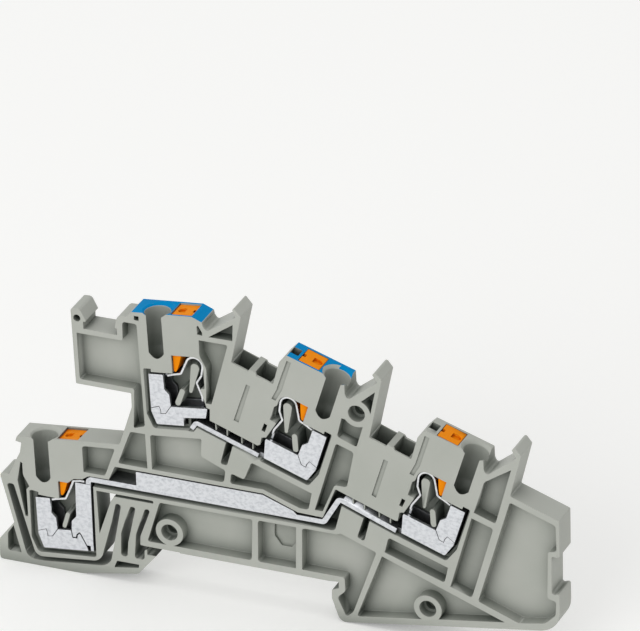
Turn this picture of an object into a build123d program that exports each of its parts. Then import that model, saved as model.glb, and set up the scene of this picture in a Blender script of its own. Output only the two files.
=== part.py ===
from build123d import *
import math
import os

os.makedirs("parts", exist_ok=True)

# One slice of a double-level terminal block, lying on its flat underside.
# X runs along the slice, Y across it (the open face is at -Y), Z is up.
# All lengths are millimetres.

# Overall slice
thickness = 5.2
seat_level = 0.6
pocket_depth = 2.3
core_depth = 2.0
relief_depth = 0.5
hook_relief = 0.12
marker_hole_radius = 0.65

# Chambers and the metal in them
rim_depth = 1.5
chamber_depth = 4.2
channel_depth = 4.1
cage_front = 0.2
cage_back = 4.15
cage_sheet = 0.6
seam_width = 0.1
bar_front = 0.3
bar_back = 4.0
upper_bar_sheet = 0.85
lower_bar_sheet = 0.95

# Clamping springs
spring_sheet = 0.35
spring_front = 0.3
spring_back = 3.5
tongue_front = 0.95
tongue_back = 3.2
loop_radius = 1.53

# Pushers
pusher_front = 0.45
pusher_back = 4.65
pusher_gap = 0.1
stem_back = 3.4
pusher_travel = 1.8
pusher_near = -3.15
pusher_far = -7.05
pusher_top = 17.7
pusher_shoulder = 12.3
shoulder_clearance = 0.2
dimple_radius = 0.75
dimple_depth = 0.5
dimple_spread = 1.6
dimple_shift = 0.15
notch_front = 2.05
notch_back = 2.95

# Wire entries
entry_radius = 2.3
entry_depth = 1.84
throat_radius = 1.4
throat_bottom = 6.4
throat_top = 8.3
funnel_top = 10.3
mouth_bevel = 0.55
overshoot = 0.8

# Bridge shafts, bosses and pegs
shaft_front = 0.4
shaft_back = 4.8
boss_radius = 2.6
boss_bore = 1.55
boss_step = 1.1
boss_bore_depth = 1.9
boss_step_depth = 3.0
peg_radius = 1.4
peg_length = 1.6
groove_depth = 0.3
test_front = 1.4
test_back = 3.4

# Spring posts, and ribs that stand on the bars
post_front = 0.4
web_bite = 0.2
upper_tick_lift = 0.53
lower_tick_lift = 0.73
tick_half = 0.13
channel_roof = {"z": 26.6, "fall": 0.367}
bar_top = {"x": 3.35, "z": 22.75, "fall": 0.3707}
flange_sheet = 0.8

into = (0, 1, 0)

# The second level repeats the first one shifted by this much
level_step = (25.3, -9.88)

# Each connection has its own frame: u is measured away from the pusher toward the wire side,
# v is measured up along the wire. "slope" tips u and "lean" tips v, both in degrees.
connections = {
    "lower_left": {"x": -37.4, "z": 0.58, "slope": 5.7, "lean": 1.5, "side": -1, "mouth": 18.06},
    "upper_left": {"x": -14.65, "z": 29.13, "slope": 5.7, "lean": 2.0, "side": -1, "mouth": 17.94},
    "upper_right": {"x": 12.63, "z": 23.59, "slope": 19.6, "lean": 18.2, "side": 1, "mouth": 17.81},
    "lower_right": {"x": 37.93, "z": 13.71, "slope": 19.6, "lean": 18.2, "side": 1, "mouth": 17.81},
}


# Sketch plane parallel to the open face, "depth" millimetres behind it
def layer(depth):
    return Plane(origin=(0, depth - thickness / 2, -seat_level), x_dir=(1, 0, 0), z_dir=(0, -1, 0))


# Closed outline; a third number on a point rounds that corner
def region(points, depth=0.0):
    with BuildSketch(layer(depth)) as area:
        with BuildLine():
            Polyline(*[point[:2] for point in points], close=True)
        make_face()
        for point in points:
            if len(point) == 3:
                corner = area.vertices().sort_by_distance((point[0], point[1], 0))[0]
                fillet(corner, point[2])
    return area.sketch.face()


# Several outlines cut or filled in one step, from "start" to "end" behind the open face
def cut(outlines, start, end):
    extrude([region(points, start) for points in outlines], amount=end - start, dir=into, mode=Mode.SUBTRACT)


def fill(outlines, start, end):
    extrude([region(points, start) for points in outlines], amount=end - start, dir=into)


def cut_discs(centres, radius, start, end):
    with BuildSketch(layer(start)) as discs:
        with Locations(*centres):
            Circle(radius)
    extrude(discs.sketch, amount=end - start, dir=into, mode=Mode.SUBTRACT)


def fill_discs(centres, radius, start, end):
    with BuildSketch(layer(start)) as discs:
        with Locations(*centres):
            Circle(radius)
    extrude(discs.sketch, amount=end - start, dir=into)


def shifted(points, step):
    return [(point[0] + step[0], point[1] + step[1], *point[2:]) for point in points]


# From a connection's own frame to the slice
def spot(name, u, v):
    frame = connections[name]
    slope = math.radians(frame["slope"])
    lean = math.radians(frame["lean"])
    x = frame["x"] + u * frame["side"] * math.cos(slope) + v * frame["side"] * math.sin(lean)
    z = frame["z"] - u * math.sin(slope) + v * math.cos(lean)
    return (x, z)


def mapped(name, points):
    return [(*spot(name, point[0], point[1]), *point[2:]) for point in points]


# Point at a radius from the wire axis, exactly square to it
def beside_wire(name, radius, v):
    frame = connections[name]
    lean = math.radians(frame["lean"])
    x = frame["x"] + frame["side"] * (radius * math.cos(lean) + v * math.sin(lean))
    z = frame["z"] - radius * math.sin(lean) + v * math.cos(lean)
    return (x, z)


def wire_axis(name):
    frame = connections[name]
    lean = math.radians(frame["lean"])
    x, z = spot(name, 0, 0)
    direction = (frame["side"] * math.sin(lean), 0, math.cos(lean))
    return Axis((x, entry_depth - thickness / 2, z - seat_level), direction)


# Flat strip of constant thickness that follows a bent line
def strip(path_points, sheet, bend, depth):
    with BuildSketch(layer(depth)) as band:
        with BuildLine() as centre:
            FilletPolyline(*path_points, radius=bend)
        trace(centre.line, line_width=sheet)
    return band.sketch


# Outer outline of the moulding, anticlockwise from the clamping foot
foot = [
    (-46.8, -3.1, 0.5), (-46.85, -7.05, 0.7), (-31.2, -7.05, 14.0), (-20.2, -5.05, 0.6),
    (-16.65, -0.85), (-18.3, -0.9), (-18.4, 0.05), (-18.85, 0.0), (-18.85, 0.78),
]
underside = [
    (-12.2, 0.75), (-12.0, seat_level), (16.2, seat_level), (17.8, seat_level + hook_relief),
    (17.76, -0.53), (16.45, -1.05, 0.3),
    (16.4, -2.7), (17.9, -7.15, 1.4), (58.85, -0.95, 4.2),
]
right_end = [
    (58.85, 6.3, 0.3), (57.4, 5.9, 0.4), (57.5, 13.4, 0.3), (58.95, 13.4, 0.4), (59.0, 20.55, 0.25),
    (50.1, 23.75, 0.3),
]
ridge_right = [
    (26.95, 41.8, 0.3), (25.8, 43.25, 0.35), (25.25, 42.6, 0.2), (26.1, 41.2, 0.3), (20.5, 36.85, 0.5),
    (20.05, 37.9, 0.3), (20.0, 39.9, 0.2),
]
tower_right_top = [(9.5, 43.45, 0.2), (8.0, 41.9, 0.4), (6.75, 37.4, 0.2)]
block_top = [
    (3.7, 38.5), (3.55, 39.0), (2.35, 39.45), (2.15, 39.05), (-0.95, 40.2, 0.2),
]
ridge_left = [
    (1.15, 49.3, 0.3), (-0.15, 50.85, 0.2), (-0.4, 50.4), (0.25, 49.1, 0.3), (-5.4, 45.35, 0.5),
    (-6.05, 46.3), (-6.15, 46.95, 0.2),
]
tower_left_top = [(-8.1, 47.75, 0.3), (-19.4, 46.65, 0.3), (-20.4, 45.5, 0.4)]
marker_groove = [
    (-22.15, 45.4, 0.9), (-22.65, 43.0, 0.15), (-22.25, 42.85), (-22.25, 41.7), (-28.65, 41.7),
    (-28.65, 43.1, 0.1), (-28.05, 43.2, 0.15), (-29.2, 45.5, 0.7), (-30.95, 45.4, 0.6),
]
overhang_edge = [
    (-30.6, 32.7), (-30.55, 30.75, 0.3), (-20.1, 30.7, 0.2), (-20.1, 28.0, 1.0), (-22.75, 20.1, 0.5),
]
lower_left_top = [
    (-42.4, 18.15, 0.3), (-42.75, 17.15, 0.1), (-41.65, 16.95, 0.2), (-42.0, 15.0), (-44.3, 10.25),
    (-46.15, 10.35, 0.6), (-43.75, 0.7, 0.3),
]
outline = (
    foot
    + underside
    + right_end
    + shifted(ridge_right, level_step)
    + shifted(tower_right_top, level_step)
    + shifted(block_top, level_step)
    + ridge_right
    + tower_right_top
    + block_top
    + ridge_left
    + tower_left_top
    + marker_groove
    + overhang_edge
    + lower_left_top
)

# Slots that let the clamping foot flex; they go right through
foot_slot = [
    (-44.85, 8.4, 0.5), (-41.45, -5.95, 1.9), (-38.5, -5.95), (-25.6, -4.55, 2.4), (-24.1, 2.5),
    (-22.95, 8.2, 0.5), (-24.0, 8.2, 0.5), (-24.97, 4.2), (-27.35, -3.95, 2.2), (-39.8, -5.3, 1.6),
    (-43.5, 8.4, 0.5),
]
hinge_slot = [
    (-21.2, 8.15, 0.4), (-22.3, 5.25), (-23.2, 2.5), (-23.4, -2.05, 0.5), (-22.2, -2.05, 0.5),
    (-21.95, 0.8), (-20.2, 8.15, 0.4),
]
latch_slot = [
    (-18.45, 8.15, 0.4), (-19.5, 5.25), (-20.35, 2.8), (-20.8, -2.05, 0.5), (-18.95, -2.05, 0.5),
    (-18.87, -0.2), (-18.7, 0.02), (-18.7, 0.79), (-19.6, 0.82, 0.15), (-19.5, 2.6), (-17.4, 8.15, 0.4),
]
relief_slot = [
    (-27.6, 10.1), (-16.8, 10.1, 0.2), (-16.8, 9.55, 0.2), (-24.25, 9.55), (-24.9, 8.5, 0.6), (-27.35, 1.6),
]
foot_window = [(-24.2, -3.2), (-20.0, -3.2, 0.1), (-20.1, -3.85, 0.15), (-24.85, -4.65, 0.15)]

# Cored-out pockets on both faces, with ribs left between them
pockets = [
    [(-29.95, 18.45), (-23.7, 19.0), (-25.8, 13.35), (-29.9, 13.35)],
    [(-23.2, 16.35), (-17.6, 16.35), (-17.8, 23.1), (-20.6, 23.05)],
    [(-16.75, 16.35), (-16.85, 23.1), (-7.1, 24.15), (-7.35, 20.7), (-2.85, 18.75), (-3.2, 16.35)],
    [(-1.8, 18.35), (0.65, 17.6), (2.15, 21.25), (13.25, 17.3), (12.55, 13.95), (10.9, 13.95),
     (4.15, 16.35), (-2.0, 16.35)],
    [(13.76, 14.15), (18.1, 27.95), (21.4, 26.8), (19.9, 19.75), (17.6, 19.75), (15.2, 14.15)],
    [(19.3, 33.1), (18.35, 29.4), (21.95, 28.0), (23.3, 32.4)],
    [(-6.9, 43.4), (-1.5, 43.4), (-4.95, 31.3), (-6.0, 31.3), (-5.65, 38.0), (-6.9, 40.4)],
    [(-15.6, 10.0), (1.9, 10.0), (1.5, 1.85), (-18.2, 1.85)],
    [(2.95, 10.0), (10.1, 10.0), (9.8, 1.85), (2.75, 1.85)],
    [(11.25, 10.05), (17.7, 10.05), (18.4, 10.45), (25.05, 7.95), (20.35, -4.8), (19.1, -5.9),
     (17.5, -2.35), (19.05, -0.9), (18.95, 1.83), (11.0, 1.83)],
    [(26.0, 7.45), (48.6, -1.2), (36.6, -3.0), (31.9, -3.8), (21.1, -5.45)],
    [(27.4, 11.3), (38.3, 7.5), (37.6, 4.45), (26.6, 8.3)],
    [(38.7, 3.9), (42.9, 18.05), (46.85, 16.75), (42.6, 2.45)],
    [(43.35, 19.3), (45.4, 25.6), (50.4, 28.9), (47.3, 17.85)],
    [(43.75, 2.0), (50.0, 22.5), (58.3, 19.5), (58.4, 14.5), (56.8, 14.2), (56.55, 5.0), (58.15, 4.7),
     (58.0, 1.9), (56.0, 0.0), (51.2, -0.87)],
    [(-29.95, 40.7), (-21.25, 40.7), (-21.2, 44.4), (-18.5, 44.4), (-18.05, 32.4), (-17.75, 24.6),
     (-19.9, 23.9), (-19.45, 31.7), (-29.75, 31.7)],
]
small_pockets = [
    [(-42.0, 13.1), (-41.65, 12.9), (-41.65, 10.6), (-40.5, 8.5), (-41.1, 7.8), (-41.0, 2.4),
     (-41.5, 2.4), (-42.7, 9.3)],
    [(-43.9, 0.1), (-45.1, -1.6), (-45.2, -5.1), (-42.6, -5.1)],
    [(-4.9, 44.4), (-0.6, 44.4), (-0.45, 47.5)],
    [(23.05, 37.0), (25.6, 39.2), (24.7, 35.0), (23.9, 36.0)],
]
loose_wedge = [(-6.95, 46.2), (-7.2, 46.0), (-7.15, 44.45), (-6.2, 44.45), (-6.25, 45.0)]
probe_slot = [(4.25, 27.95), (4.9, 27.75), (5.4, 29.2), (4.8, 29.45)]
pin_hole = [(-18.95, 45.15), (-18.1, 45.15), (-18.1, 46.0), (-18.95, 46.0)]
relief_octagon = [
    (6.3, 9.9), (5.05, 8.7), (5.05, 6.3), (6.3, 4.55), (8.2, 4.55), (9.6, 6.3), (9.6, 8.7), (8.7, 9.9),
]
marker_hole = (-29.8, 43.6)
boss_centres = [(-13.95, 4.38), (22.1, 34.5), (34.35, -1.35)]

# Recess at the open face of a right-hand chamber, and the tighter chamber behind it
right_rim = [
    (2.7, 7.2, 0.3), (2.7, -1.5), (1.6, -4.6, 0.6), (-8.0, -4.6, 0.6), (-8.75, 0.1, 0.2), (-8.15, 0.4),
    (-7.2, 4.1, 0.2), (-8.5, 4.1, 0.2), (-8.5, 6.9), (-8.05, 7.5), (-8.05, 10.1, 1.8), (-2.8, 10.1),
    (-2.8, 6.6), (1.3, 6.6), (1.3, 7.2),
]
right_chamber = [
    (2.2, 6.6), (2.2, -1.25), (1.25, -4.15, 0.3), (-7.65, -4.1, 0.3), (-8.5, 0.2), (-8.15, 0.4),
    (-7.2, 4.1, 0.2), (-8.05, 4.1, 0.2), (-8.05, 10.1, 1.8), (-2.8, 10.1), (-2.8, 6.6),
]
upper_left_rim = [
    (2.7, 7.2, 0.3), (2.7, -1.5), (1.6, -4.35, 0.6), (-5.0, -4.3), (-5.0, -2.6), (-9.2, -2.3), (-9.4, 0.2),
    (-8.8, 0.45), (-7.85, 4.1, 0.2), (-8.7, 4.1, 0.2), (-8.7, 10.1, 1.8), (-2.8, 10.1), (-2.8, 6.6),
    (1.3, 6.6), (1.3, 7.2),
]
upper_left_chamber = [
    (2.2, 6.6), (2.2, -1.25), (1.25, -3.9, 0.3), (-4.45, -3.85), (-4.45, -2.3), (-8.75, -2.05), (-9.15, 0.2),
    (-8.8, 0.45), (-7.85, 4.1, 0.2), (-8.7, 4.1, 0.2), (-8.7, 10.1, 1.8), (-2.8, 10.1), (-2.8, 6.6),
]
lower_left_rim = [
    (-40.5, 7.8, 0.3), (-38.8, 7.8), (-38.8, 7.2), (-34.85, 7.1), (-34.9, 10.6), (-33.0, 10.6),
    (-31.9, 11.55), (-30.2, 11.8), (-29.1, 12.6), (-28.15, 12.6), (-28.15, -3.3, 0.5), (-39.3, -4.3, 0.8),
    (-40.5, -1.5),
]
lower_left_chamber = [
    (-39.65, 7.2), (-34.85, 7.1), (-34.9, 10.6), (-33.0, 10.6), (-31.9, 11.55), (-30.2, 11.8),
    (-29.1, 12.6), (-28.4, 12.6), (-28.6, 11.0), (-28.6, -3.0, 0.3), (-38.7, -3.9, 0.3), (-39.65, -1.1),
]

# Channels for the two current bars
upper_channel = [
    (-9.6, 25.25, 0.3), (-9.6, 27.8), (-5.45, 28.1), (3.4, 24.85), (3.9, 25.1), (4.25, 26.6), (5.2, 26.2),
    (4.7, 22.0), (3.2, 22.15), (-7.9, 26.2), (-8.55, 25.25, 0.3),
]
lower_channel = [
    (-28.9, 10.75), (17.4, 10.75, 0.8), (18.8, 15.85), (28.5, 12.1), (29.9, 11.85), (30.4, 16.3),
    (29.55, 16.7), (29.2, 14.98), (28.7, 14.95), (17.75, 19.0, 0.4), (15.2, 12.95, 0.2), (10.4, 13.1),
    (4.0, 15.55), (-23.85, 15.55, 0.2), (-25.1, 12.75), (-28.9, 12.7),
]
upper_slit = [(-2.5, 24.4), (-1.25, 24.0), (-2.5, 19.8, 0.4), (-3.75, 19.9, 0.4)]
lower_slit = [(22.9, 14.4), (24.0, 14.2), (22.8, 9.7, 0.4), (21.55, 10.3, 0.4)]

# Bridge shafts in the upper block, narrowing down to the bar
shafts = [
    [(-0.55, 40.9), (2.4, 40.0), (-2.4, 26.6), (-4.4, 27.3)],
    [(3.45, 39.2), (6.4, 38.3), (2.35, 24.9), (0.3, 25.6)],
]
face_groove = [(1.62, 36.45), (2.42, 36.2), (0.0, 28.7), (-0.85, 28.95)]
ticks = [-4.45, -2.4, 0.3, 2.35]


# Face of a solid post inside a chamber, which guides the spring
def post_face(name, head, tail, head_radius, tail_radius):
    with BuildSketch(layer(post_front)) as post:
        with Locations(spot(name, *head)):
            Circle(head_radius)
        with Locations(spot(name, *tail)):
            Circle(tail_radius)
        make_hull()
    return post.sketch.face()


# Round wire entry with a bevelled mouth and a narrowing throat
def wire_entry(name):
    mouth = connections[name]["mouth"]
    with BuildSketch(layer(entry_depth)) as entry:
        with BuildLine():
            Polyline(
                beside_wire(name, 0, throat_bottom),
                beside_wire(name, throat_radius, throat_bottom),
                beside_wire(name, throat_radius, throat_top),
                beside_wire(name, entry_radius, funnel_top),
                beside_wire(name, entry_radius, mouth - mouth_bevel),
                beside_wire(name, entry_radius + mouth_bevel + overshoot, mouth + overshoot),
                beside_wire(name, 0, mouth + overshoot),
                close=True,
            )
        make_face()
    return revolve(entry.sketch, axis=wire_axis(name), mode=Mode.PRIVATE)


def both_levels(outlines):
    return [shifted(points, step) for step in [(0, 0), level_step] for points in outlines]


# Thin rib from the roof of the bar channel down to just above the bar
def tick(x, lift):
    roof = channel_roof["z"] - channel_roof["fall"] * x
    low = bar_top["z"] - bar_top["fall"] * (x - bar_top["x"]) + lift
    return [(x - tick_half, roof), (x + tick_half, roof), (x + tick_half, low), (x - tick_half, low)]


with BuildPart() as housing:
    extrude(region(outline), amount=thickness, dir=into)

    # Pockets from the open face and core-outs from the closed face leave a thin web
    probe_slots = both_levels([probe_slot])
    cut(pockets + small_pockets + probe_slots + [pin_hole], 0, pocket_depth)
    cut(pockets, thickness - core_depth, thickness)
    cut([relief_octagon], pocket_depth - relief_depth / 2, pocket_depth + relief_depth)

    # Bosses stand in the pockets and keep the slices in line
    fill_discs(boss_centres, boss_radius, 0, thickness)
    cut_discs([marker_hole], marker_hole_radius, 0, pocket_depth)

    # Slots that go right through
    cut([foot_slot, hinge_slot, latch_slot, relief_slot, foot_window, loose_wedge], 0, thickness)

    # Channels, then chambers, each with a wider recess at the open face
    cut([upper_channel, lower_channel, upper_slit, lower_slit], 0, channel_depth)
    rims = [mapped("upper_right", right_rim), mapped("lower_right", right_rim)]
    rims += [mapped("upper_left", upper_left_rim), lower_left_rim]
    cut(rims, 0, rim_depth)
    chambers = [mapped("upper_right", right_chamber), mapped("lower_right", right_chamber)]
    chambers += [mapped("upper_left", upper_left_chamber), lower_left_chamber]
    cut(chambers, 0, chamber_depth)
    upper_ticks = [tick(x, upper_tick_lift) for x in ticks]
    lower_ticks = [shifted(tick(x, lower_tick_lift), level_step) for x in ticks]
    fill(upper_ticks + lower_ticks, shaft_front, channel_depth)

    # Wire entries
    add([wire_entry(name) for name in connections], mode=Mode.SUBTRACT)

    # Pusher cavities: a wide well at the top and a narrow one for the stem
    wells = []
    stem_wells = []
    for name in connections:
        above = connections[name]["mouth"] + 3 * overshoot
        well_floor = pusher_shoulder - pusher_travel - shoulder_clearance
        near = pusher_near + pusher_gap
        far = pusher_far - pusher_gap
        wells.append(mapped(name, [(near, above), (near, well_floor), (far, well_floor), (far, above)]))
        stem = [(-2.75, pusher_shoulder), (-2.75, 9.0), (-5.0, 9.0), (-5.0, pusher_shoulder)]
        stem_wells.append(mapped(name, stem))
    cut(wells, pusher_front - pusher_gap, pusher_back + pusher_gap)
    cut(stem_wells, pusher_front - pusher_gap, stem_back + pusher_gap)

    # Test openings on the right-hand towers, and bridge shafts in both blocks
    test_openings = []
    face_grooves = both_levels([face_groove])
    for name in ["upper_right", "lower_right"]:
        test_openings.append(mapped(name, [(-9.2, 21.0), (-7.6, 21.0), (-7.6, 8.9), (-9.2, 10.2)]))
        groove = [(-9.0, 16.7), (-8.1, 16.7), (-8.1, 10.6), (-8.6, 8.2), (-9.4, 8.2), (-9.0, 10.6)]
        face_grooves.append(mapped(name, groove))
    cut(test_openings, test_front, test_back)
    cut(face_grooves, 0, groove_depth)
    cut(both_levels(shafts), shaft_front, shaft_back)

    # Posts for the springs
    posts = []
    for name in ["upper_right", "lower_right"]:
        posts.append(post_face(name, (-6.3, 7.8), (-5.2, 3.2), 0.8, 0.28))
        posts.append(post_face(name, (-3.5, 3.0), (-2.65, 0.75), 0.5, 0.5))
    posts.append(post_face("upper_left", (-6.95, 7.8), (-5.85, 3.2), 0.8, 0.28))
    posts.append(post_face("upper_left", (-4.2, 3.0), (-3.2, 0.75), 0.5, 0.5))
    posts.append(post_face("lower_left", (-4.0, 3.0), (-3.2, 0.75), 0.4, 0.4))
    extrude(posts, amount=chamber_depth - post_front + web_bite, dir=into)

    # Stepped boss bores, and the matching pegs on the closed face
    cut_discs(boss_centres, boss_bore, 0, boss_bore_depth)
    cut_discs(boss_centres, boss_step, 0, boss_step_depth)
    fill_discs(boss_centres, peg_radius, thickness, thickness + peg_length)

housing.part.label = "housing"
export_step(housing.part, "parts/housing.step")

# Folded contact cages: the outline seen from the open face, and the lines of the inner space
right_cage = [
    (1.9, 6.1), (1.9, -1.1), (1.0, -3.85, 0.3), (-7.45, -3.8), (-8.2, -0.3, 0.2), (-8.1, 0.0), (-1.9, 0.0),
    (-1.75, 2.28), (-0.9, 3.25), (-0.82, 6.1, 0.15),
]
right_space = [(1.3, 7.0), (1.3, -1.0), (0.55, -3.2), (-9.5, -3.2), (-9.5, 7.0)]
upper_left_cage = [
    (1.9, 6.1), (1.9, -1.1), (1.0, -3.6, 0.3), (-4.15, -3.55), (-4.15, -2.0), (-8.4, -1.75), (-8.8, 0.1),
    (-1.9, 0.0), (-1.75, 2.28), (-0.9, 3.25), (-0.82, 6.1, 0.15),
]
upper_left_space = [(1.3, 7.0), (1.3, -1.0), (0.55, -2.95), (-3.55, -2.95), (-3.55, -1.4), (-9.5, -1.15),
                    (-9.5, 7.0)]
lower_left_cage = [
    (1.9, 6.1), (1.9, -1.1), (1.0, -3.85, 0.3), (-7.6, -3.8), (-7.35, -3.0), (-6.33, -0.86), (-6.08, -0.48),
    (-5.7, -0.88), (-5.6, -1.5), (-4.65, -1.48), (-4.45, 0.0), (-1.9, 0.0), (-1.75, 2.28), (-0.9, 3.25),
    (-0.82, 6.1, 0.15),
]
seam_line = [(-2.1, 0.3), (-0.8, -1.45), (0.1, -1.5), (0.1, -0.9), (0.35, -0.1), (2.1, -0.6)]


def make_cage(name, cage_outline, space):
    with BuildPart() as cage:
        fill([mapped(name, cage_outline)], cage_front, cage_back)
        cut([mapped(name, space)], cage_front + cage_sheet, cage_back - cage_sheet)
        with BuildSketch(layer(cage_front)) as seam:
            with BuildLine() as seam_path:
                Polyline(*mapped(name, seam_line))
            trace(seam_path.line, line_width=seam_width)
        extrude(seam.sketch, amount=cage_sheet, dir=into, mode=Mode.SUBTRACT)
    cage.part.label = f"cage_{name}"
    export_step(cage.part, f"parts/cage_{name}.step")


make_cage("upper_right", right_cage, right_space)
make_cage("lower_right", right_cage, right_space)
make_cage("upper_left", upper_left_cage, upper_left_space)
make_cage("lower_left", lower_left_cage, right_space)


# Where a straight leg that comes from "start" runs smoothly onto a spring's loop
def loop_contact(start, centre, turn):
    across = start[0] - centre[0]
    up = start[1] - centre[1]
    angle = math.atan2(up, across) + turn * math.acos(loop_radius / math.hypot(across, up))
    return (centre[0] + loop_radius * math.cos(angle), centre[1] + loop_radius * math.sin(angle))


# Clamping springs: a clamping leg, a round loop and a back leg, with narrower tongues at both ends
def make_spring(name, reach, foot_v):
    side = connections[name]["side"]
    centre = spot(name, -6.25 - reach, 8.3)
    front_knee = spot(name, -3.6 - reach, 6.5)
    back_knee = spot(name, -7.45 - reach, 6.4)
    front_contact = loop_contact(front_knee, centre, side)
    back_contact = loop_contact(back_knee, centre, -side)
    with BuildPart() as spring:
        with BuildSketch(layer(spring_front)) as band:
            with BuildLine() as path:
                FilletPolyline(
                    spot(name, -1.0 - reach, 5.97),
                    spot(name, -2.2 - reach, 6.28),
                    front_knee,
                    front_contact,
                    radius=0.5,
                )
                ThreePointArc(front_contact, (centre[0], centre[1] + loop_radius), back_contact)
                FilletPolyline(
                    back_contact,
                    back_knee,
                    spot(name, -6.45 - reach, 5.0),
                    spot(name, -7.33 - reach, 2.4),
                    spot(name, -7.35 - reach, 1.5),
                    radius=0.35,
                )
            trace(path.line, line_width=spring_sheet)
        extrude(band.sketch, amount=spring_back - spring_front, dir=into)
        with BuildSketch(layer(tongue_front)) as tongue:
            with BuildLine() as tip_path:
                Polyline(spot(name, -1.2 - reach, 6.02), spot(name, 1.15, 5.4))
            trace(tip_path.line, line_width=spring_sheet)
            with BuildLine() as foot_path:
                Polyline(spot(name, -7.35 - reach, 1.8), spot(name, -7.35 - reach, foot_v))
            trace(foot_path.line, line_width=spring_sheet)
        extrude(tongue.sketch, amount=tongue_back - tongue_front, dir=into)
    spring.part.label = f"spring_{name}"
    export_step(spring.part, f"parts/spring_{name}.step")


make_spring("upper_right", 0.0, -3.15)
make_spring("lower_right", 0.0, -3.15)
make_spring("upper_left", 0.65, -1.2)

# The lower left spring has no loop; it runs over the leg of the bar instead
with BuildPart() as flat_spring:
    leg_line = [
        (-36.4, 6.5), (-35.5, 6.8), (-33.7, 7.2), (-32.75, 9.3), (-32.1, 10.98), (-30.9, 11.24), (-29.95, 11.27),
    ]
    extrude(strip(leg_line, spring_sheet, 0.3, spring_front), amount=spring_back - spring_front, dir=into)
    tip_line = [(-36.0, 6.63), (-38.4, 5.85)]
    with BuildSketch(layer(tongue_front)) as tip:
        with BuildLine() as tip_edge:
            Polyline(*tip_line)
        trace(tip_edge.line, line_width=spring_sheet)
    extrude(tip.sketch, amount=tongue_back - tongue_front, dir=into)
flat_spring.part.label = "spring_lower_left"
export_step(flat_spring.part, "parts/spring_lower_left.step")

# Pushers: a wide head that fills the well, a stem and a wedge that rests on the spring
pusher_head = [
    (pusher_near, pusher_top), (pusher_near, pusher_shoulder), (pusher_far, pusher_shoulder),
    (pusher_far, pusher_top),
]
pusher_stem = [
    (-3.3, pusher_shoulder + 0.3), (-2.9, pusher_shoulder - 0.1), (-2.9, 6.95), (-3.1, 6.75, 0.1),
    (-3.35, 6.85), (-3.65, 7.4), (-4.05, 8.5), (-4.6, 10.2), (-4.8, pusher_shoulder + 0.3),
]
pusher_notch = [(pusher_far - 0.2, pusher_top + 0.5), (pusher_far + 0.55, pusher_top + 0.5),
                (pusher_far + 0.55, 16.4), (pusher_far - 0.2, 16.0)]

for name in connections:
    with BuildPart() as pusher:
        fill([mapped(name, pusher_head)], pusher_front, pusher_back)
        fill([mapped(name, pusher_stem)], pusher_front, stem_back)
        cut([mapped(name, pusher_notch)], notch_front, notch_back)
        head_x, head_z = spot(name, (pusher_near + pusher_far) / 2, pusher_top)
        lean_angle = math.radians(connections[name]["lean"]) * connections[name]["side"]
        head_plane = Plane(
            origin=(head_x, (pusher_front + pusher_back - thickness) / 2, head_z - seat_level),
            x_dir=(math.cos(lean_angle), 0, -math.sin(lean_angle)),
            z_dir=(math.sin(lean_angle), 0, math.cos(lean_angle)),
        )
        with BuildSketch(head_plane) as dimples:
            with Locations((dimple_shift, 0)):
                SlotCenterToCenter(dimple_spread, 2 * dimple_radius)
        extrude(dimples.sketch, amount=-dimple_depth, mode=Mode.SUBTRACT)
    pusher.part.label = f"pusher_{name}"
    export_step(pusher.part, f"parts/pusher_{name}.step")

# Upper current bar: bent down at the left cage, running on to the upper right cage
with BuildPart() as upper_bar:
    upper_line = [(-9.05, 25.6), (-8.15, 26.95), (3.35, 22.75)]
    extrude(strip(upper_line, upper_bar_sheet, 0.6, bar_front), amount=bar_back - bar_front, dir=into)
    with BuildSketch(layer(tongue_front)) as bar_tongue:
        with BuildLine() as tongue_edge:
            Polyline((3.0, 22.88), (4.2, 22.44))
        trace(tongue_edge.line, line_width=upper_bar_sheet)
    extrude(bar_tongue.sketch, amount=tongue_back - tongue_front, dir=into)
upper_bar.part.label = "upper_current_bar"
export_step(upper_bar.part, "parts/upper_current_bar.step")

# Lower current bar: its left end turns down into the lower left chamber and carries a front plate
leg_plate = [
    (-28.75, 10.85), (-31.7, 10.85, 0.2), (-31.8, 4.0), (-32.7, 3.0), (-32.8, 1.2), (-32.6, -0.15),
    (-32.05, -0.15), (-31.9, 0.45), (-31.3, 1.0), (-31.0, 0.65), (-29.95, -1.4), (-28.75, -1.35),
]
bar_flange = [
    (-20.0, 11.6), (-20.0, 15.1, 0.2), (3.9, 15.1), (9.6, 13.0), (10.3, 12.3), (10.3, 11.6),
]
leg_end = [(-29.3, -1.2), (-28.7, -1.2), (-28.7, -2.35), (-29.25, -2.35)]
with BuildPart() as lower_bar:
    lower_line = [(-29.22, -1.35), (-29.22, 11.92), (15.25, 11.92), (18.3, 16.95), (28.72, 12.82)]
    extrude(strip(lower_line, lower_bar_sheet, 0.7, bar_front), amount=bar_back - bar_front, dir=into)
    fill([leg_plate], cage_front, cage_front + cage_sheet)
    fill([bar_flange], bar_front, bar_front + flange_sheet)
    fill([leg_end], cage_front, bar_back)
    with BuildSketch(layer(tongue_front)) as end_tongue:
        with BuildLine() as end_edge:
            Polyline((28.3, 12.99), (29.4, 12.52))
        trace(end_edge.line, line_width=upper_bar_sheet)
    extrude(end_tongue.sketch, amount=tongue_back - tongue_front, dir=into)
lower_bar.part.label = "lower_current_bar"
export_step(lower_bar.part, "parts/lower_current_bar.step")
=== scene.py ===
import bpy
import math
from mathutils import Matrix, Vector
from mathutils.bvhtree import BVHTree
from mathutils.kdtree import KDTree


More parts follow.
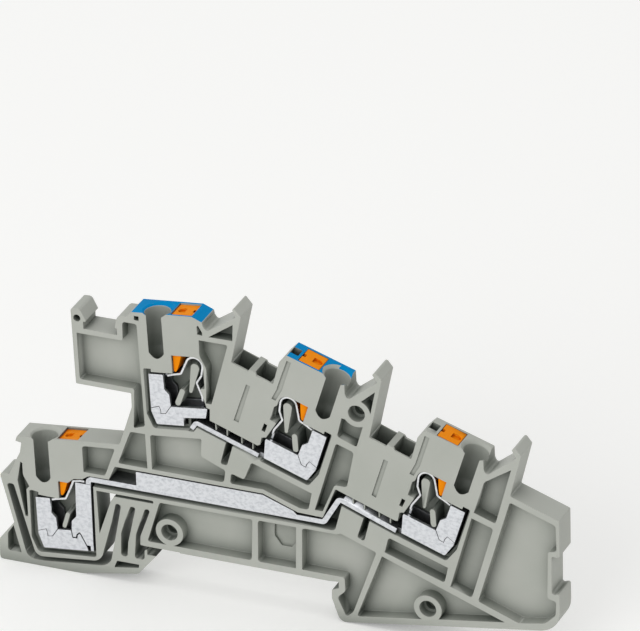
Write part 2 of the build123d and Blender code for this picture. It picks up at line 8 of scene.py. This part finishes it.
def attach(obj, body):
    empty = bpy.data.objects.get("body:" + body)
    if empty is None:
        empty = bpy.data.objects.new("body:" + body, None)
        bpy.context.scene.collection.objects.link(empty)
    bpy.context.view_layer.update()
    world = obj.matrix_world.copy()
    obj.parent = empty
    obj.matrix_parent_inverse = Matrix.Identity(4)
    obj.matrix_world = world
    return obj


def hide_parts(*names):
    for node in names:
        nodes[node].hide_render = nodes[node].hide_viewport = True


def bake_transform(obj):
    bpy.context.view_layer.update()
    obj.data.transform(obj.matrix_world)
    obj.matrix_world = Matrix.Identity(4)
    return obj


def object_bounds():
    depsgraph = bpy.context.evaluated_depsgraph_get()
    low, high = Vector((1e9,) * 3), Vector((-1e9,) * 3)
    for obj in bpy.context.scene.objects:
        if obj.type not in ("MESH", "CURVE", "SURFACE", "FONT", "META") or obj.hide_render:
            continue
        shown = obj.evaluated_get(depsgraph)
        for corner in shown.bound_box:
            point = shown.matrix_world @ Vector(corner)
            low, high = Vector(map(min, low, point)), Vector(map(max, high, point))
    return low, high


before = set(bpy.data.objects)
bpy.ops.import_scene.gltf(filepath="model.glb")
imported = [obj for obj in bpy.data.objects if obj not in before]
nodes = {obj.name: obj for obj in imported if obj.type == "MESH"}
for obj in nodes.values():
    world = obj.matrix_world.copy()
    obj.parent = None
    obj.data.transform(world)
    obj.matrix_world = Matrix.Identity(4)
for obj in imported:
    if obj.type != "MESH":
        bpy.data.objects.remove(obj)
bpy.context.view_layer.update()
mm = 0.001
print("frame loaded with", len(nodes), "nodes")


# sRGB hex to the linear colour that a shader wants
def hexColour(code):
    channels = [int(code[i:i + 2], 16) / 255 for i in (0, 2, 4)]
    linear = [c / 12.92 if c <= 0.04045 else ((c + 0.055) / 1.055) ** 2.4 for c in channels]
    return (*linear, 1.0)


# Adds one node with its settings, then links (from node, output) to its inputs.
# A socket goes by its name, or by its number where several share one name
def addNode(tree, kind, settings=None, links=None):
    node = tree.nodes.new(kind)
    for key, value in (settings or {}).items():
        if isinstance(key, int) or key in node.inputs:
            node.inputs[key].default_value = value
        else:
            setattr(node, key, value)
    for key, (source, output) in (links or {}).items():
        tree.links.new(source.outputs[output], node.inputs[key])
    return node


def newMaterial(name):
    material = bpy.data.materials.new(name)
    material.use_nodes = True
    material.node_tree.nodes.clear()
    return material, material.node_tree


# The ambient occlusion samples of the painted shade, and the relief's bump distance in millimetres
finishAndShadeLook = {"recessSamples": 12, "reliefMm": 0.02}
mixColour = {"factor": 0, "low": 6, "high": 7, "result": 2}  # socket numbers of a Mix node for colours


# What all finishes share: two drifting tones, painted shade (a darker colour that ambient occlusion lays
# into recesses, crevices and gaps between parts), an uneven roughness and a fine relief. One pattern leads
# the tones, one the roughness and one the relief
def layFinishAndPaintedShade(tree, look, toneBy, sheenBy, reliefBy):
    tint = addNode(tree, "ShaderNodeValToRGB", links={"Fac": (toneBy, "Fac")})
    stops = tint.color_ramp.elements
    stops[0].position, stops[1].position = look["blend"]
    stops[0].color = hexColour(look["dark"])
    stops[1].color = hexColour(look["light"])
    # Painted shade: ambient occlusion mixes the colour towards the shade colour where recesses and nearby
    # parts hide the light
    recess = addNode(tree, "ShaderNodeAmbientOcclusion",
                     {"Distance": look["recessMm"] * mm, "samples": finishAndShadeLook["recessSamples"]})
    depth = addNode(tree, "ShaderNodeMapRange",
                    {"From Min": look["recess"][0], "From Max": look["recess"][1]},
                    {"Value": (recess, "AO")})
    toneWithPaintedShade = addNode(tree, "ShaderNodeMix",
                   {"data_type": "RGBA", mixColour["low"]: hexColour(look["paintedShadeColour"])},
                   {mixColour["factor"]: (depth, "Result"), mixColour["high"]: (tint, "Color")})
    sheen = addNode(tree, "ShaderNodeMapRange",
                    {"To Min": look["rough"][0], "To Max": look["rough"][1]},
                    {"Value": (sheenBy, "Fac")})
    bump = addNode(tree, "ShaderNodeBump",
                   {"Strength": look["bump"], "Distance": finishAndShadeLook["reliefMm"] * mm},
                   {"Height": (reliefBy, "Fac")})
    skin = addNode(tree, "ShaderNodeBsdfPrincipled", look["skin"],
                   {"Base Color": (toneWithPaintedShade, mixColour["result"]), "Roughness": (sheen, "Result"),
                    "Normal": (bump, "Normal")})
    addNode(tree, "ShaderNodeOutputMaterial", links={"Surface": (skin, "BSDF")})


# Moulded polyamide: a satin skin with a spark-eroded grain and faint flow clouding. The grain is
# drawn coarser than the real one, which would be too fine to show
def mouldedPolyamide(name, look):
    material, tree = newMaterial(name)
    place = addNode(tree, "ShaderNodeTexCoord")
    clouds = addNode(tree, "ShaderNodeTexNoise", {"Scale": 1000 / look["cloudMm"], "Detail": 3.0},
                     {"Vector": (place, "Object")})
    grain = addNode(tree, "ShaderNodeTexNoise", {"Scale": 1000 / look["grainMm"], "Detail": 2.0},
                    {"Vector": (place, "Object")})
    layFinishAndPaintedShade(tree, look, toneBy=clouds, sheenBy=grain, reliefBy=grain)
    return material


# Tinned or rolled sheet: pale metal with fine cloudy spots from the bath or the rolls.
# "stretch" draws the spots and scratches shorter along an axis, which lines them up across it
def paleSheet(name, look):
    material, tree = newMaterial(name)
    place = addNode(tree, "ShaderNodeTexCoord")
    stretch = addNode(tree, "ShaderNodeMapping", {"Scale": look["stretch"]},
                      {"Vector": (place, "Object")})
    spots = addNode(tree, "ShaderNodeTexNoise",
                    {"Scale": 1000 / look["spotMm"], "Detail": 5.0, "Roughness": 0.6},
                    {"Vector": (stretch, "Vector")})
    scratches = addNode(tree, "ShaderNodeTexNoise", {"Scale": 1000 / look["scratchMm"], "Detail": 2.0},
                        {"Vector": (stretch, "Vector")})
    layFinishAndPaintedShade(tree, look, toneBy=spots, sheenBy=spots, reliefBy=scratches)
    return material


# Light grey of the housing, with painted shade: its recesses are painted darker and slightly green
greyLook = {"dark": "B0B3AB", "light": "B8BAB3", "paintedShadeColour": "3F4840", "blend": (0.3, 0.7),
            "cloudMm": 14.0, "grainMm": 0.35, "recessMm": 5.0, "recess": (0.0, 0.92),
            "rough": (0.45, 0.6), "bump": 0.2, "skin": {"IOR": 1.53, "Specular IOR Level": 0.25}}
# Blue of the upper level's marks, with painted shade darker blue in its recesses
blueLook = {"dark": "0086C3", "light": "008ECE", "paintedShadeColour": "004E78", "blend": (0.3, 0.7),
            "cloudMm": 9.0, "grainMm": 0.3, "recessMm": 2.0, "recess": (0.0, 0.75),
            "rough": (0.45, 0.6), "bump": 0.15, "skin": {"IOR": 1.53, "Specular IOR Level": 0.04}}
# Orange of the pushers, with painted shade deeper orange in its recesses
orangeLook = {"dark": "F68D06", "light": "FF980C", "paintedShadeColour": "D25000", "blend": (0.3, 0.7),
              "cloudMm": 4.0, "grainMm": 0.25, "recessMm": 1.0, "recess": (0.2, 0.9),
              "rough": (0.4, 0.55), "bump": 0.15, "skin": {"IOR": 1.53, "Specular IOR Level": 0.06}}
# Tinned copper of the cages and current bars, with painted shade near black in their recesses
tinLook = {"dark": "C1C4C9", "light": "DFE1E5", "paintedShadeColour": "3A3C3E", "blend": (0.3, 0.56),
           "spotMm": 0.8, "scratchMm": 0.15, "stretch": (1.0, 1.0, 1.4), "recessMm": 4.0,
           "recess": (0.05, 0.85), "rough": (0.34, 0.46), "bump": 0.12, "skin": {"Metallic": 0.9}}
# Rolled spring steel, brighter and smoother than the tin, with painted shade dark grey in its recesses
springLook = {"dark": "C4C6C9", "light": "E8E9EB", "paintedShadeColour": "5A5C5E", "blend": (0.3, 0.56),
              "spotMm": 0.5, "scratchMm": 0.1, "stretch": (1.0, 6.0, 1.0), "recessMm": 2.0,
              "recess": (0.0, 0.6), "rough": (0.2, 0.32), "bump": 0.1, "skin": {"Metallic": 1.0}}

greyPolyamide = mouldedPolyamide("mouldedGreyPolyamide", greyLook)
bluePolyamide = mouldedPolyamide("mouldedBluePolyamide", blueLook)
orangePolyamide = mouldedPolyamide("mouldedOrangePolyamide", orangeLook)
tinnedSheet = paleSheet("tinnedCopperSheet", tinLook)
springStrip = paleSheet("rolledSpringSteel", springLook)
print("materials made")

# How every mesh is worked: points closer than "weldMm" become one. Turns are in degrees: up to them
# faces count as one flat face, triangles pair into a quad, and an edge is shaded smooth. "quadShape" is
# how far a quad may be from square, "largeFaces" how much large faces lead the shading, and
# "simpleSides" the most sides of a face that spoiltCorners judges
meshLook = {"weldMm": 0.0005, "flatTurn": 0.3, "quadTurn": 0.5, "quadShape": 60, "smoothTurn": 50,
            "largeFaces": 100, "simpleSides": 4}


# Opens one piece alone, with its whole mesh selected
def openMesh(piece):
    bpy.ops.object.select_all(action="DESELECT")
    piece.select_set(True)
    bpy.context.view_layer.objects.active = piece
    bpy.ops.object.mode_set(mode="EDIT")
    bpy.ops.mesh.select_all(action="SELECT")


def closeMesh():
    bpy.ops.mesh.select_all(action="DESELECT")
    bpy.ops.object.mode_set(mode="OBJECT")


# A working copy of a CAD node: merged, with its triangles joined into flat faces
def mergedCopy(node, name):
    piece = bpy.data.objects.new(name, nodes[node].data.copy())
    bpy.context.scene.collection.objects.link(piece)
    openMesh(piece)
    bpy.ops.mesh.remove_doubles(threshold=meshLook["weldMm"] * mm)
    bpy.ops.mesh.dissolve_limited(angle_limit=math.radians(meshLook["flatTurn"]))
    closeMesh()
    return piece


# A flat face with a window in it is one loop with a slit, which a bevel tears, so flat faces are
# cut into triangles and quads
def simpleFaces(piece):
    openMesh(piece)
    bpy.ops.mesh.quads_convert_to_tris(quad_method="BEAUTY", ngon_method="BEAUTY")
    bpy.ops.mesh.tris_convert_to_quads(face_threshold=math.radians(meshLook["quadTurn"]),
                                       shape_threshold=math.radians(meshLook["quadShape"]))
    closeMesh()


# The corners that a bevel has spoilt: those beside a point that it threw further than "reach" widths
# from every corner or "off" widths off the surface, and those of a face of few sides that it turned
# over. Faces under "sliver" square millimetres aren't judged
def spoiltCorners(mesh, corners, surface, look):
    width = look["width"] * mm
    points = mesh.vertices
    thrown = {point.index for point in points
              if corners.find(point.co)[2] > look["reach"] * width
              or surface.find_nearest(point.co)[3] > look["off"] * width}
    spoilt = set()
    for edge in mesh.edges:
        a, b = edge.vertices
        if (a in thrown) != (b in thrown):
            spoilt.add(corners.find(points[b if a in thrown else a].co)[1])
    for face in mesh.polygons:
        simple = len(face.vertices) <= meshLook["simpleSides"] and face.area > look["sliver"] * mm ** 2
        if simple and face.normal.dot(surface.find_nearest(face.center)[1]) < 0:
            spoilt.update(corners.find(points[i].co)[1] for i in face.vertices)
    return spoilt, thrown


# Bevels the chosen edges. The bevel is made again from the plain mesh, with the spoilt corners left
# sharp, until it spoils no other corner or its tries are used up
def bevelEdges(piece, chosen, look):
    plain = piece.data
    surface = BVHTree.FromPolygons([vertex.co.copy() for vertex in plain.vertices],
                                   [list(face.vertices) for face in plain.polygons])
    corners = KDTree(len(plain.vertices))
    for vertex in plain.vertices:
        corners.insert(vertex.co, vertex.index)
    corners.balance()
    left = set()
    for attempt in range(look["tries"]):
        piece.data = plain.copy()
        weight = piece.data.attributes.new("bevel_weight_edge", "FLOAT", "EDGE")
        for edge in plain.edges:
            wanted = edge.index in chosen and not left.intersection(edge.vertices)
            weight.data[edge.index].value = 1.0 if wanted else 0.0
        bevel = piece.modifiers.new("brokenEdge", "BEVEL")
        bevel.width = look["width"] * mm
        bevel.segments = look["segments"]
        bevel.limit_method = "WEIGHT"
        bevel.use_clamp_overlap = False
        bpy.ops.object.modifier_apply(modifier=bevel.name)
        spoilt, thrown = spoiltCorners(piece.data, corners, surface, look)
        if not spoilt - left:
            break
        left |= spoilt
    piece.data.attributes.remove(piece.data.attributes["bevel_weight_edge"])
    print(piece.name, "bevelled", len(chosen), "edges; corners left sharp:", len(left),
          "stray:", len(thrown))


# The turn at each edge between its two faces, in degrees
def edgeTurns(mesh):
    sides = {}
    for face in mesh.polygons:
        for key in face.edge_keys:
            sides.setdefault(key, []).append(face.normal)
    turns = {}
    for edge in mesh.edges:
        normals = sides.get(edge.key, [])
        turns[edge.index] = math.degrees(normals[0].angle(normals[1])) if len(normals) == 2 else 0
    return turns


# The mould leaves the corners of a pocket round: upright corner edges get a radius. An edge counts if
# it leans under "leanMm", runs the depth of a pocket to within "fitMm", turns by an angle between the
# two of "turn", and has no edge beside it shorter than "room" widths
def roundCorners(piece, look):
    mesh = piece.data
    meeting = {}
    for edge in mesh.edges:
        a, b = [mesh.vertices[i].co for i in edge.vertices]
        for i in edge.vertices:
            meeting.setdefault(i, {})[edge.index] = (a - b).length
    turns = edgeTurns(mesh)
    chosen = set()
    for edge in mesh.edges:
        a, b = [mesh.vertices[i].co for i in edge.vertices]
        near, far = sorted((a.y / mm, b.y / mm))
        upright = abs(a.x - b.x) + abs(a.z - b.z) < look["leanMm"] * mm
        spans = any(abs(near - front) < look["fitMm"] and abs(far - back) < look["fitMm"]
                    for front, back in look["spans"])
        if not (upright and spans and look["turn"][0] < turns[edge.index] < look["turn"][1]):
            continue
        around = [length for end in edge.vertices for i, length in meeting[end].items() if i != edge.index]
        if min(around) > look["room"] * look["width"] * mm:
            chosen.add(edge.index)
    bevelEdges(piece, chosen, look)


# Sharp edges are broken by a small bevel, and flat faces keep flat shading
def finishPiece(piece, node, material, look):
    simpleFaces(piece)
    sharp = {index for index, turn in edgeTurns(piece.data).items() if turn > look["angle"]}
    bevelEdges(piece, sharp, look)
    # large flat faces hold their own normals when the shading is evened
    openMesh(piece)
    bpy.ops.mesh.dissolve_limited(angle_limit=math.radians(meshLook["flatTurn"]))
    closeMesh()
    bpy.ops.object.shade_smooth_by_angle(angle=math.radians(meshLook["smoothTurn"]))
    even = piece.modifiers.new("evenShade", "WEIGHTED_NORMAL")
    even.keep_sharp = True
    even.weight = meshLook["largeFaces"]
    bpy.ops.object.modifier_apply(modifier=even.name)
    piece.data.materials.clear()
    piece.data.materials.append(material)
    for face in piece.data.polygons:
        face.material_index = 0
    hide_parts(node)


# Widths are in millimetres, turns and angles in degrees. "spans" are the front and back of the
# pockets open to the front and of the core-outs open to the back
pocketLook = {"width": 0.45, "segments": 4, "turn": (25, 120), "spans": ((-2.6, -0.3), (0.6, 2.6)),
              "leanMm": 0.002, "fitMm": 0.02, "room": 2.6, "reach": 1.5, "off": 0.6,
              "sliver": 0.001, "tries": 4}
housingEdge = {"width": 0.08, "segments": 2, "angle": 38, "reach": 4.0, "off": 0.8,
               "sliver": 0.001, "tries": 10}
housing = mergedCopy("housing", "blockHousing")
roundCorners(housing, pocketLook)
finishPiece(housing, "housing", greyPolyamide, housingEdge)
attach(housing, "housing")
print("housing dressed:", len(housing.data.polygons), "faces")

# The upper level is marked by blue faces at its two wire entries. Each lies along a line from one
# (x, z) to another, less than "reach" millimetres above or below it, and its normal's z passes "facing"
blueCaps = {"lines": (((-19.45, 46.05), (-6.15, 47.25)), ((9.45, 42.85), (20.05, 39.3))),
            "reach": 0.5, "facing": 0.6}


def paintCaps(piece, caps, material):
    capIndex = len(piece.data.materials)
    piece.data.materials.append(material)
    painted = 0
    for face in piece.data.polygons:
        for (x0, z0), (x1, z1) in caps["lines"]:
            share = (face.center.x / mm - x0) / (x1 - x0)
            height = z0 + (z1 - z0) * share
            close = abs(face.center.z / mm - height) < caps["reach"]
            if 0 <= share <= 1 and face.normal.z > caps["facing"] and close:
                face.material_index = capIndex
                painted += 1
    return painted


print("blue faces:", paintCaps(housing, blueCaps, bluePolyamide))

sheetEdge = {"width": 0.04, "segments": 2, "angle": 35, "reach": 4.0, "off": 0.8, "sliver": 0.0005,
             "tries": 8}
pusherEdge = {"width": 0.08, "segments": 2, "angle": 35, "reach": 4.0, "off": 0.8, "sliver": 0.0005,
              "tries": 8}
stripEdge = {"width": 0.03, "segments": 1, "angle": 50, "reach": 4.0, "off": 0.8, "sliver": 0.0005,
             "tries": 8}

# In the clamp each spring bends between its seat in the housing and the wedge that presses it.
# "held" and "pressed" are places (x, z) on the strip, in millimetres, which nothing here reads: the spring
# isn't bent
springs = {
    "lower_left": {"held": (-32.5, 9.6), "pressed": (-34.2, 6.5)},
    "upper_left": {"held": (-9.15, 37.1), "pressed": (-10.95, 36.9)},
    "upper_right": {"held": (10.2, 32.3), "pressed": (11.9, 31.7)},
    "lower_right": {"held": (35.5, 22.4), "pressed": (37.2, 21.8)},
}
for place, look in springs.items():
    words = place.split("_")
    tag = words[0] + words[1].capitalize()
    cage = mergedCopy("cage_" + place, tag + "ContactCage")
    finishPiece(cage, "cage_" + place, tinnedSheet, sheetEdge)
    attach(cage, "housing")
    pusher = mergedCopy("pusher_" + place, tag + "Pusher")
    finishPiece(pusher, "pusher_" + place, orangePolyamide, pusherEdge)
    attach(pusher, "pusher_" + place)
    spring = mergedCopy("spring_" + place, tag + "ClampSpring")
    finishPiece(spring, "spring_" + place, springStrip, stripEdge)
    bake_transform(spring)
bars = {"upper_current_bar": "upperCurrentBar", "lower_current_bar": "lowerCurrentBar"}
for node, name in bars.items():
    bar = mergedCopy(node, name)
    finishPiece(bar, node, tinnedSheet, sheetEdge)
    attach(bar, "housing")
print("metal parts and pushers dressed")

# The CAD nodes behind the dressed pieces get the same finishes, by the first word of their names
finishes = {"housing": greyPolyamide, "pusher": orangePolyamide, "cage": tinnedSheet,
            "spring": springStrip, "upper": tinnedSheet, "lower": tinnedSheet}
for nodeName, node in nodes.items():
    node.data.materials.clear()
    node.data.materials.append(finishes[nodeName.split("_")[0]])


# 1 where the camera or a reflection sees a thing, and 0 where it only lights other surfaces
def seenRays(tree):
    rays = addNode(tree, "ShaderNodeLightPath")
    return addNode(tree, "ShaderNodeMath", {"operation": "MAXIMUM"},
                   {0: (rays, "Is Camera Ray"), 1: (rays, "Is Glossy Ray")})


# Pale floor just under the feet, which glows by "lift" where the camera or a reflection sees it:
# "half" its width is in metres, and its "gap" below the feet in millimetres
floorLook = {"half": 6.0, "colour": "F2F2F0", "lift": 0.22, "gap": 0.02}
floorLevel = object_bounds()[0].z - floorLook["gap"] * mm
bpy.ops.object.select_all(action="DESELECT")
bpy.ops.mesh.primitive_plane_add(size=2 * floorLook["half"], location=(0, 0, floorLevel))
floor = bpy.context.active_object
floor.name = "paleFloor"
floorMaterial, floorTree = newMaterial("paleStudioFloor")
lift = addNode(floorTree, "ShaderNodeMath", {"operation": "MULTIPLY", 1: floorLook["lift"]},
               {0: (seenRays(floorTree), "Value")})
floorSkin = addNode(floorTree, "ShaderNodeBsdfDiffuse", {"Color": hexColour(floorLook["colour"])})
glow = addNode(floorTree, "ShaderNodeEmission", links={"Strength": (lift, "Value")})
both = addNode(floorTree, "ShaderNodeAddShader", links={0: (floorSkin, "BSDF"), 1: (glow, "Emission")})
addNode(floorTree, "ShaderNodeOutputMaterial", links={"Surface": (both, "Shader")})
floor.data.materials.append(floorMaterial)

# Soft studio light: a pale surround, a broad lamp in front and a weaker one above
lampLook = {
    "front": {"place": (-0.35, -1.5, 0.7), "size": 1.2, "power": 9.0},
    "above": {"place": (-0.2, -0.1, 1.6), "size": 0.8, "power": 2.5},
}
aim = Vector((0.0, 0.0, 0.02))
for lampName, look in lampLook.items():
    bpy.ops.object.light_add(type="AREA", location=look["place"])
    lamp = bpy.context.active_object
    lamp.name = lampName + "Lamp"
    lamp.data.energy = look["power"]
    lamp.data.size = look["size"]
    lamp.rotation_euler = (aim - Vector(look["place"])).to_track_quat("-Z", "Y").to_euler()

# The surround is white to the eye and lights the object at a lower level
worldLook = {"colour": "FFFFFF", "ambient": 0.62, "seen": 1.0}
world = bpy.data.worlds.new("paleSurround")
bpy.context.scene.world = world
world.use_nodes = True
worldTree = world.node_tree
worldTree.nodes.clear()
level = addNode(worldTree, "ShaderNodeMapRange",
                {"To Min": worldLook["ambient"], "To Max": worldLook["seen"]},
                {"Value": (seenRays(worldTree), "Value")})
surround = addNode(worldTree, "ShaderNodeBackground", {"Color": hexColour(worldLook["colour"])},
                   {"Strength": (level, "Result")})
addNode(worldTree, "ShaderNodeOutputWorld", links={"Surface": (surround, "Background")})

# Camera at the photograph's angle, with its small tilt and long lens: angles in degrees,
# "place" and lens in millimetres, "clip" in metres
cameraLook = {"azimuth": 23.895, "elevation": 27.85, "roll": -1.874, "lens": 496.3, "sensor": 36,
              "place": (551.8, -1212.12, 750.71), "clip": (0.05, 30)}
azimuth, elevation, roll = [math.radians(cameraLook[key]) for key in ("azimuth", "elevation", "roll")]
ahead = Vector((-math.sin(azimuth) * math.cos(elevation), math.cos(azimuth) * math.cos(elevation),
                -math.sin(elevation)))
across = Vector((math.cos(azimuth), math.sin(azimuth), 0))
upward = across.cross(ahead)
right = math.cos(roll) * across + math.sin(roll) * upward
top = -math.sin(roll) * across + math.cos(roll) * upward
bpy.ops.object.camera_add(location=[c * mm for c in cameraLook["place"]])
camera = bpy.context.active_object
camera.name = "photoCamera"
camera.rotation_euler = Matrix((right, top, -ahead)).transposed().to_euler()
camera.data.lens = cameraLook["lens"]
camera.data.sensor_width = cameraLook["sensor"]
camera.data.clip_start, camera.data.clip_end = cameraLook["clip"]
bpy.context.scene.camera = camera
bpy.context.scene.view_settings.view_transform = "Standard"
print("stage, lamps and camera placed")
